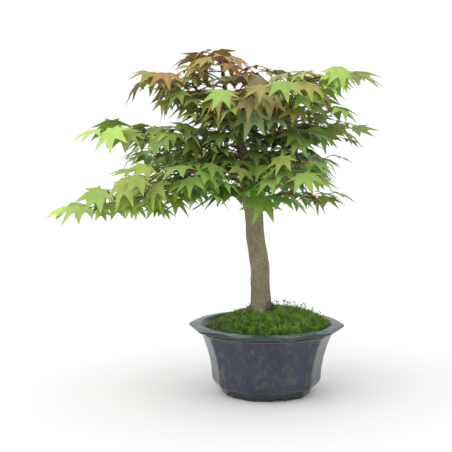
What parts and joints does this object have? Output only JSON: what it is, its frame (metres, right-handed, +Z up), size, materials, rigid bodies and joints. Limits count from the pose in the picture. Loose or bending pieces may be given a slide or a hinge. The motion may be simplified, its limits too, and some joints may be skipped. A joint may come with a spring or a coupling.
{
  "type": "maple bonsai in a glazed pot",
  "caption": "Small Japanese maple bonsai with a curved bare trunk and layered leafy crown, growing from a mossy mound in a ten-sided dark blue glazed pot with feet.",
  "frame": {"origin": "middle of the bounding box's underside, on the surface that the pot stands on", "axes": "+Z up, +X to the right and +Y to the back as seen from the front; the longest low branch points to -X"},
  "size_m": [0.429, 0.2878, 0.4443],
  "materials": {
    "glaze": "glossy dark blue glaze with olive and brown mottling, paler and greener on the rim",
    "mesh_plastic": "moulded black-green plastic mesh",
    "grit": "coarse crushed pumice and gravel",
    "soil": "damp granular bonsai soil",
    "moss": "cushion of fine upright moss sprigs, bright to dark green",
    "bark": "smooth grey-brown maple bark with fine horizontal lenticels",
    "leaf_green": "matte to satin mid-green maple leaves with paler undersides",
    "leaf_lime": "matte to satin lime-green young maple leaves",
    "leaf_bronze": "young maple leaves, bronze and red towards their margins"
  },
  "bodies": {
    "root": {"branch_left_back": "bark", "branch_left_front": "bark", "branch_left_low": "bark", "branch_left_mid": "bark", "branch_right_back": "bark", "branch_right_front": "bark", "branch_right_low": "bark", "branch_right_main": "bark", "branch_right_mid": "bark", "branch_top_back": "bark", "branch_top_front": "bark", "branch_top_left": "bark", "drain_mesh": "mesh_plastic", "drainage_grit": "grit", "moss": "moss", "pot": "glaze", "shoot_left_back_1": "leaf_green", "shoot_left_back_2": "leaf_green", "shoot_left_back_3": "leaf_green", "shoot_left_front_1": "leaf_green", "shoot_left_front_2": "leaf_green", "shoot_left_front_3": "leaf_green", "shoot_left_low_1": "leaf_lime", "shoot_left_low_2": "leaf_lime", "shoot_left_low_3": "leaf_lime", "shoot_left_low_4": "leaf_lime", "shoot_left_low_5": "leaf_lime", "shoot_left_mid_1": "leaf_green", "shoot_left_mid_2": "leaf_green", "shoot_left_mid_3": "leaf_green", "shoot_left_mid_4": "leaf_green", "shoot_right_back_1": "leaf_green", "shoot_right_back_2": "leaf_green", "shoot_right_back_3": "leaf_green", "shoot_right_front_1": "leaf_green", "shoot_right_front_2": "leaf_green", "shoot_right_low_1": "leaf_green", "shoot_right_low_2": "leaf_green", "shoot_right_main_1": "leaf_green", "shoot_right_main_2": "leaf_green", "shoot_right_main_3": "leaf_green", "shoot_right_main_4": "leaf_green", "shoot_right_main_5": "leaf_green", "shoot_right_mid_1": "leaf_green", "shoot_top_back_1": "leaf_bronze", "shoot_top_back_2": "leaf_bronze", "shoot_top_back_3": "leaf_bronze", "shoot_top_front_1": "leaf_bronze", "shoot_top_front_2": "leaf_bronze", "shoot_top_front_3": "leaf_bronze", "shoot_top_left_1": "leaf_bronze", "shoot_top_left_2": "leaf_bronze", "shoot_top_left_3": "leaf_bronze", "shoot_trunk_1": "leaf_green", "shoot_trunk_2": "leaf_green", "shoot_trunk_3": "leaf_green", "shoot_trunk_4": "leaf_green", "soil": "soil", "trunk": "bark"}
  },
  "joints": []
}
